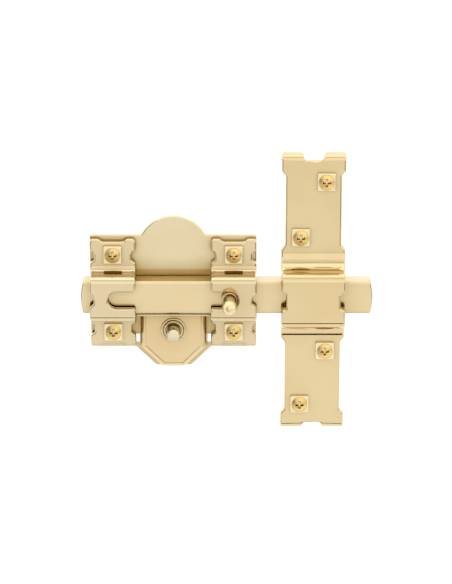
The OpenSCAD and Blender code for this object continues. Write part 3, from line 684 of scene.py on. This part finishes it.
def turned(name, centre_x, centre_z, outline, steps=TURNED_STEPS):
    """A turned piece square to the door: an outline of (radius, standoff), spun round."""
    piece = drawn(name, [(centre_x + r, -standoff, centre_z) for r, standoff in outline])
    bpy.ops.object.mode_set(mode="EDIT")
    bpy.ops.mesh.select_all(action="SELECT")
    bpy.ops.mesh.spin(steps=steps, angle=math.tau, center=(centre_x, 0, centre_z), axis=(0, 1, 0))
    bpy.ops.mesh.select_all(action="SELECT")
    bpy.ops.mesh.remove_doubles(threshold=2e-6)
    bpy.ops.mesh.normals_make_consistent(inside=False)
    bpy.ops.object.mode_set(mode="OBJECT")
    bpy.ops.object.shade_smooth_by_angle(angle=math.radians(40))
    return piece


def arc(centre_r, centre_s, radius, start, end, count):
    """Points (radius, standoff) on a circle, from one angle to another in degrees."""
    angles = [math.radians(start + (end - start) * i / (count - 1)) for i in range(count)]
    return [(max(0.0, centre_r + radius * math.cos(a)), centre_s + radius * math.sin(a))
            for a in angles]


KNOB_GOLD = "#E6D3A6"

# The fifth number is how strongly painted shade darkens the knob near the bolt and strap
knob_plating = brass_plating("polished_brass_plate_on_turned_knob", KNOB_GOLD, 0.34,
                             (2.0, 2.0, 2.0), 0.4, lacquer=0.1)
knob_low, knob_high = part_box("bolt_knob")
knob_x = (knob_low.x + knob_high.x) / 2
knob_z = (knob_low.z + knob_high.z) / 2
bolt_front = -bolt_low.y
knob_top = -knob_low.y
COLLAR_R = (knob_high.x - knob_low.x) / 2
BALL_R = 0.0036
NECK_R = 0.0030
COLLAR_H = 0.0029
RIVET_R, RIVET_ROOT, KNOB_GAP = 0.0019, 0.0005, 0.00002
ball_s = knob_top - BALL_R
knob = turned("ball_knob", knob_x, knob_z,
              [(0, bolt_front - RIVET_ROOT), (RIVET_R, bolt_front - RIVET_ROOT),
               (RIVET_R, bolt_front + KNOB_GAP), (COLLAR_R - 0.0002, bolt_front + KNOB_GAP)]
              + arc(COLLAR_R - 0.0002, bolt_front + 0.0003, 0.0002, -90, 0, 4)
              + arc(COLLAR_R - 0.0006, bolt_front + COLLAR_H - 0.0006, 0.0006, 0, 80, 8)
              + arc(NECK_R + 0.0007, bolt_front + COLLAR_H + 0.0006, 0.0006, 260, 185, 6)
              + [(NECK_R + 0.0001, bolt_front + COLLAR_H + 0.0018),
                 (NECK_R - 0.0002, bolt_front + COLLAR_H + 0.0036)]
              + arc(0, ball_s, BALL_R, -50, 90, 26))
fit_to(knob, knob_plating, "bolt", "plated_bolt", "bolt_knob")


# ---------------------------------------------------------------------------------------------
# Button and bush: the bush is a turned eyelet pressed into the cover, with a flat flange and a
# rolled rim; the button is a plain turned pin with a broken edge and a flat end.
# ---------------------------------------------------------------------------------------------
BUTTON_GOLD = "#DDD2B4"
TIP_EDGE, ROOT_EDGE = 0.0005, 0.0002

# The fifth number is how strongly painted shade darkens the button inside its bush
button_plating = brass_plating("worn_brass_plate_on_the_button", BUTTON_GOLD, 0.3,
                               (2.0, 2.0, 2.0), 0.3, lacquer=0.1)
bush_low, bush_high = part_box("button_bush")
button_low, button_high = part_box("button_plunger")
bush_z = (bush_low.z + bush_high.z) / 2
button_tip = -button_low.y
button_root = -button_high.y
cover_face = -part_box("mechanism_cover")[0].y
bush_under = -bush_high.y
BUSH_R = (bush_high.x - bush_low.x) / 2
BUTTON_R = (button_high.x - button_low.x) / 2
BORE_R = BUTTON_R + 0.00005
BUSH_NECK_R = BUSH_R - 0.0012
BUSH_GAP = 0.00001
WELL_R = BUTTON_R + 0.00065
GROOVE_R = BUSH_R - 0.00115
RING_H = 0.0006
BEAD_H = -bush_low.y - cover_face
GUIDE_TOP = bush_under + 0.00055

bush = turned("button_eyelet", 0, bush_z,
              [(BORE_R, bush_under), (BUSH_NECK_R, bush_under),
               (BUSH_NECK_R, cover_face + BUSH_GAP), (BUSH_R - 0.0001, cover_face + BUSH_GAP)]
              + arc(BUSH_R - 0.00035, cover_face + RING_H - 0.00035, 0.00035, 0, 90, 7)
              + arc(GROOVE_R + 0.0003, cover_face + RING_H - 0.0003, 0.0003, 90, 180, 6)
              + [(GROOVE_R, cover_face + 0.0001)]
              + arc(GROOVE_R - 0.0005, cover_face + BEAD_H - 0.0004, 0.0004, 0, 90, 8)
              + arc(WELL_R + 0.0003, cover_face + BEAD_H - 0.0003, 0.0003, 90, 180, 7)
              + [(WELL_R, GUIDE_TOP), (BORE_R, GUIDE_TOP), (BORE_R, bush_under)])
fit_to(bush, plate_plating, "root", "plated_plate", "button_bush")

button = turned("push_button", 0, bush_z,
                [(0, button_root), (BUTTON_R - ROOT_EDGE, button_root),
                 (BUTTON_R, button_root + ROOT_EDGE), (BUTTON_R, button_tip - TIP_EDGE)]
                + arc(BUTTON_R - TIP_EDGE, button_tip - TIP_EDGE, TIP_EDGE, 0, 90, 6)
                + [(0, button_tip)])
fit_to(button, button_plating, "button", "plated_bolt", "button_plunger")


# ---------------------------------------------------------------------------------------------
# Wood screws: cold-headed steel with a cross recess and an oval countersunk head, plated a yellower
# brass than the lock. The thread is rolled, so it stands proud of the plain shank.
# ---------------------------------------------------------------------------------------------
SCREW_GOLD = "#E6C57C"
# Painted shade: a dark brown gold for the faces inside the cross recess, where shade falls
RECESS_PAINTED_SHADE_GOLD = "#9A6B22"
HEAD_RISE = 0.0009
SINK_DEPTH, SHANK_START = 0.002, 0.0008
THREAD_R = 0.002
CORE_R = 0.0014
PITCH = 0.0018
THREAD_START, THREAD_FOOT, THREAD_CREST = 0.0006, 0.00045, 0.00006
POINT_LENGTH, FADE_LENGTH = 0.0045, 0.006
RECESS_DEPTH = 0.0019
SEEN = 0.00012
RECESS_ARM = 0.0022
RECESS_WIDTH = 0.00055

# The fifth number in each of these two calls is how strongly painted shade darkens the plating near
# other surfaces
screw_plating = brass_plating("yellow_brass_plate_on_wood_screws", SCREW_GOLD, 0.36,
                              (4.0, 4.0, 4.0), 0.2, lacquer=0.1)
# Painted shade: the plating laid inside the driver's cross recess
recess_painted_shade_plating = brass_plating("painted_shade_in_the_driver_recess", RECESS_PAINTED_SHADE_GOLD, 0.45,
                               (4.0, 4.0, 4.0), 0.3, lacquer=0.0)


def cross_recess(name, x, z, top):
    """A tapered cross that cuts the driver's recess: long arms that run to a small flat below."""
    clear_selection()
    arms = []
    for along_x in (True, False):
        bpy.ops.mesh.primitive_cube_add(size=1, location=(0, 0, 0))
        arm = bpy.context.object
        for corner in arm.data.vertices:
            deep = corner.co.y > 0
            length = RECESS_ARM * (0.4 if deep else 1.15)
            width = RECESS_WIDTH * (0.55 if deep else 1.1)
            half_x, half_z = (length, width) if along_x else (width, length)
            corner.co = Vector((x + math.copysign(half_x, corner.co.x),
                                -(top - RECESS_DEPTH) if deep else -(top + RECESS_DEPTH * 0.25),
                                z + math.copysign(half_z, corner.co.z)))
        arms.append(arm)
    pick(arms[0])
    join = arms[0].modifiers.new("cross", "BOOLEAN")
    join.operation, join.object, join.solver = "UNION", arms[1], "EXACT"
    bpy.ops.object.modifier_apply(modifier=join.name)
    bpy.data.objects.remove(arms[1])
    return arms[0]


def wood_screw(name, x, z, pad, reach):
    """One screw: head in its pad and a plain shank through the sheet that runs to a point behind
    the door face.
    """
    dome = (HEAD_R ** 2 + HEAD_RISE ** 2) / (2 * HEAD_RISE)
    top = pad + HEAD_RISE
    edge = math.degrees(math.asin((dome - HEAD_RISE) / dome))
    screw = turned(name, x, z,
                   [(0, -reach), (CORE_R * 0.9, -reach + POINT_LENGTH), (CORE_R, -SHANK_START),
                    (CORE_R, pad - SINK_DEPTH), (HEAD_R - 0.0001, pad - 0.0001),
                    (HEAD_R, pad + 0.00005)]
                   + arc(0, top - dome, dome, edge + 1.5, 90, 10), 48)
    recess = cross_recess(name + "_recess", x, z, top)
    pick(screw)
    cut = screw.modifiers.new("recess", "BOOLEAN")
    cut.operation, cut.object, cut.solver = "DIFFERENCE", recess, "EXACT"
    bpy.ops.object.modifier_apply(modifier=cut.name)
    bpy.data.objects.remove(recess)
    bevel = screw.modifiers.new("recess edge", "BEVEL")
    bevel.width, bevel.segments, bevel.angle_limit = 0.00008, 2, math.radians(40)
    bpy.ops.object.modifier_apply(modifier=bevel.name)
    bpy.ops.object.shade_smooth_by_angle(angle=math.radians(35))
    screw.data.materials.append(screw_plating)
    screw.data.materials.append(recess_painted_shade_plating)
    # Painted shade: faces inside the cross recess get the second, darker material
    for face in screw.data.polygons:
        across = math.hypot(face.center.x - x, face.center.z - z)
        surface = top - dome + math.sqrt(dome ** 2 - across ** 2)
        depth_ok = top - RECESS_DEPTH * 1.2 < -face.center.y < surface - SEEN
        face.material_index = int(depth_ok and across < RECESS_ARM * 1.2)
    return screw


def thread_ridge(name, x, z, reach):
    """The rolled thread: a V section wound round the shank, which runs out at both ends."""
    root = CORE_R * 0.86
    section = [(root, -THREAD_FOOT), (THREAD_R, -THREAD_CREST), (THREAD_R, THREAD_CREST),
               (root, THREAD_FOOT), (root, -THREAD_FOOT)]
    ridge = drawn(name, [(r, THREAD_START + rise, 0) for r, rise in section])
    wind = ridge.modifiers.new("wind", "SCREW")
    wind.axis, wind.angle, wind.screw_offset = "Y", math.tau, PITCH
    wind.iterations = int((reach - 0.001) / PITCH)
    wind.steps = wind.render_steps = 20
    bpy.ops.object.modifier_apply(modifier=wind.name)
    bpy.ops.object.mode_set(mode="EDIT")
    bpy.ops.mesh.select_all(action="SELECT")
    bpy.ops.mesh.remove_doubles(threshold=1e-6)
    bpy.ops.mesh.fill_holes(sides=6)
    bpy.ops.mesh.select_all(action="SELECT")
    bpy.ops.mesh.normals_make_consistent(inside=False)
    bpy.ops.object.mode_set(mode="OBJECT")
    for vertex in ridge.data.vertices:
        depth = vertex.co.y
        radius = math.hypot(vertex.co.x, vertex.co.z)
        taper = min(1.0, max(0.1, (reach - depth) / POINT_LENGTH))
        fade = min(1.0, max(0.05, (reach - depth) / FADE_LENGTH), max(0.05, depth / PITCH))
        wanted = root * taper + max(0.0, radius - root) * fade
        vertex.co.x = x + vertex.co.x * wanted / radius
        vertex.co.z = z + vertex.co.z * wanted / radius
    bpy.ops.object.shade_smooth_by_angle(angle=math.radians(50))
    return ridge


def screw_group(name, places, pad, node):
    """All the screws of one group as one piece."""
    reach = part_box(node)[1].y
    made = []
    for i, (x, z) in enumerate(places):
        made.append(wood_screw(f"{name}_{i}", x, z, pad, reach))
        made.append(thread_ridge(f"{name}_thread_{i}", x, z, reach))
        made[-1].data.materials.append(screw_plating)
    group = merge(made)
    group.name = group.data.name = name
    fit_to(group, None, "root", "plated_screw", node)


lock_head_top = -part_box("lock_screws")[0].y
screw_group("lock_wood_screws", lock_places, lock_head_top - HEAD_RISE, "lock_screws")
screw_group("strike_wood_screws", strike_places, -strike_low.y - HEAD_RISE, "strike_screws")


# ---------------------------------------------------------------------------------------------
# Back cover, its screws, pillars and the catch: bright zinc-plated steel, stamped or turned and
# barrel finished, so it is a cool grey with a fine even scatter.
# ---------------------------------------------------------------------------------------------
ZINC = "#B9BCBE"
SPRING_GREY = "#6E6A66"


def bare_steel(name, hex_colour, roughness, speckle):
    """Zinc-plated or oiled steel: grey metal with a slightly uneven, fine-grained shine."""
    steel = bpy.data.materials.new(name)
    steel.use_nodes = True
    tree = steel.node_tree
    shader = tree.nodes["Principled BSDF"]
    shader.inputs["Metallic"].default_value = 1.0
    place = add(tree, "ShaderNodeTexCoord")
    grain = add(tree, "ShaderNodeTexNoise", {
        "Vector": place.outputs["Object"], "Scale": 1 / speckle, "Detail": 4.0})
    clouds = add(tree, "ShaderNodeTexNoise", {"Vector": place.outputs["Object"], "Scale": 90.0})
    tint = add(tree, "ShaderNodeMix", {
        "Factor": clouds.outputs["Fac"], "A": linear(hex_colour),
        "B": [c * 0.7 for c in linear(hex_colour)[:3]] + [1.0]}, data_type="RGBA")
    tree.links.new(tint.outputs["Result"], shader.inputs["Base Color"])
    shine = add(tree, "ShaderNodeMapRange", {
        "Value": grain.outputs["Fac"], "From Min": 0.3, "From Max": 0.7, "To Min": roughness * 0.8,
        "To Max": roughness * 1.3})
    tree.links.new(shine.outputs["Result"], shader.inputs["Roughness"])
    relief = add(tree, "ShaderNodeBump", {
        "Height": grain.outputs["Fac"], "Strength": 0.1, "Distance": 0.00005})
    tree.links.new(relief.outputs["Normal"], shader.inputs["Normal"])
    return steel


zinc_steel = bare_steel("bright_zinc_on_stamped_steel", ZINC, 0.32, 0.0009)
spring_wire = bare_steel("oiled_spring_steel", SPRING_GREY, 0.3, 0.0006)

lid = copy_of("back_cover", "back_lid")
round_edges(lid, 0.00015, lambda middle, a, b: True, segments=2)
smooth(lid)
fit_to(lid, zinc_steel, "root", "bright_steel", "back_cover")

for node in ("left_pillar", "right_pillar", "back_cover_screws", "cross_pin", "locking_catch"):
    frame["nodes"][node].data.materials.clear()
    frame["nodes"][node].data.materials.append(zinc_steel)
for node in ("left_return_spring", "right_return_spring", "left_detent_spring",
             "right_detent_spring", "left_bolt_spring", "right_bolt_spring"):
    frame["nodes"][node].data.materials.clear()
    frame["nodes"][node].data.materials.append(spring_wire)


# ---------------------------------------------------------------------------------------------
# Studio: a white table well below the lock, a white tent whose walls are brighter than its top, a
# wide softbox overhead, and black flags that only reflections see, which draw the thin dark lines
# along the lower and side edges.
# ---------------------------------------------------------------------------------------------
FLOOR_DROP = 0.35
FLOOR_GLOW = 0.02
TENT_WALL = 1.45
TENT_TOP = 0.85
CAMERA_TILT = math.radians(21)
CAMERA_DISTANCE = 1.5
VIEW_WIDTH = 0.2815
LOOK_AT = Vector((0.0253, 0, -0.00124))
floor_z = cad_box[0][2] - FLOOR_DROP


def card(name, centre, size, hex_colour, glow=0.0, upright=None):
    """A flat sheet of card in the studio: lying, or standing with its face towards a point."""
    clear_selection()
    bpy.ops.mesh.primitive_plane_add(size=1)
    sheet = bpy.context.object
    sheet.name = sheet.data.name = name
    sheet.scale = (size[0], size[1], 1)
    if upright:
        sheet.rotation_euler = (Vector(upright) - Vector(centre)).to_track_quat("Z", "Y").to_euler()
    sheet.location = centre
    paper = bpy.data.materials.new(name)
    paper.use_nodes = True
    shader = paper.node_tree.nodes["Principled BSDF"]
    shader.inputs["Base Color"].default_value = linear(hex_colour)
    shader.inputs["Roughness"].default_value = 0.9
    shader.inputs["Specular IOR Level"].default_value = 0.0
    shader.inputs["Emission Color"].default_value = linear(hex_colour)
    shader.inputs["Emission Strength"].default_value = glow
    sheet.data.materials.append(paper)
    return sheet


def black_flag(name, centre, size, upright=None):
    """A black card that only reflections see, which draws a dark edge on bright metal."""
    flag = card(name, centre, size, "#050505", upright=upright)
    flag.visible_camera = False
    flag.visible_diffuse = False
    flag.visible_shadow = False


card("table", (0, 0, floor_z), (14, 14), "#F4F4F4", FLOOR_GLOW)
black_flag("low_flag", (-0.22, -0.49, floor_z + 0.01), (0.76, 0.2))
black_flag("left_flag", (-0.6, -0.86, floor_z + 0.44), (0.52, 0.86), upright=(0, 0, floor_z + 0.44))
black_flag("right_flag", (0.62, -0.85, floor_z + 0.13), (0.54, 0.24),
           upright=(0.06, 0, floor_z + 0.13))


def softbox(name, place, aim, size, power):
    """A square soft light aimed at a point."""
    lamp = bpy.data.lights.new(name, "AREA")
    lamp.shape = "RECTANGLE"
    lamp.size, lamp.size_y = size
    lamp.energy = power
    box = bpy.data.objects.new(name, lamp)
    bpy.context.collection.objects.link(box)
    box.location = place
    box.rotation_euler = (Vector(aim) - Vector(place)).to_track_quat("-Z", "Y").to_euler()
    return box


softbox("overhead", (0.0, 0.1, 1.3), (0, 0, 0), (2.2, 1.4), 9)

world = bpy.data.worlds.new("white_tent")
bpy.context.scene.world = world
world.use_nodes = True
tent = world.node_tree
aim = add(tent, "ShaderNodeTexCoord")
height = add(tent, "ShaderNodeSeparateXYZ", {"Vector": aim.outputs["Generated"]})
glow = add(tent, "ShaderNodeMapRange", {
    "Value": height.outputs["Z"], "From Min": 0.55, "From Max": 0.95, "To Min": TENT_WALL,
    "To Max": TENT_TOP})
tent.nodes["Background"].inputs["Color"].default_value = linear("#FFFFFF")
tent.links.new(glow.outputs["Result"], tent.nodes["Background"].inputs["Strength"])

lens = bpy.data.cameras.new("camera")
lens.sensor_width = 36
lens.lens = lens.sensor_width * CAMERA_DISTANCE / VIEW_WIDTH
camera = bpy.data.objects.new("camera", lens)
bpy.context.collection.objects.link(camera)
camera.location = LOOK_AT + CAMERA_DISTANCE * Vector(
    (0, -math.cos(CAMERA_TILT), math.sin(CAMERA_TILT)))
camera.rotation_euler = (math.radians(90) - CAMERA_TILT, 0, 0)
bpy.context.scene.camera = camera
bpy.context.scene.view_settings.view_transform = "Standard"
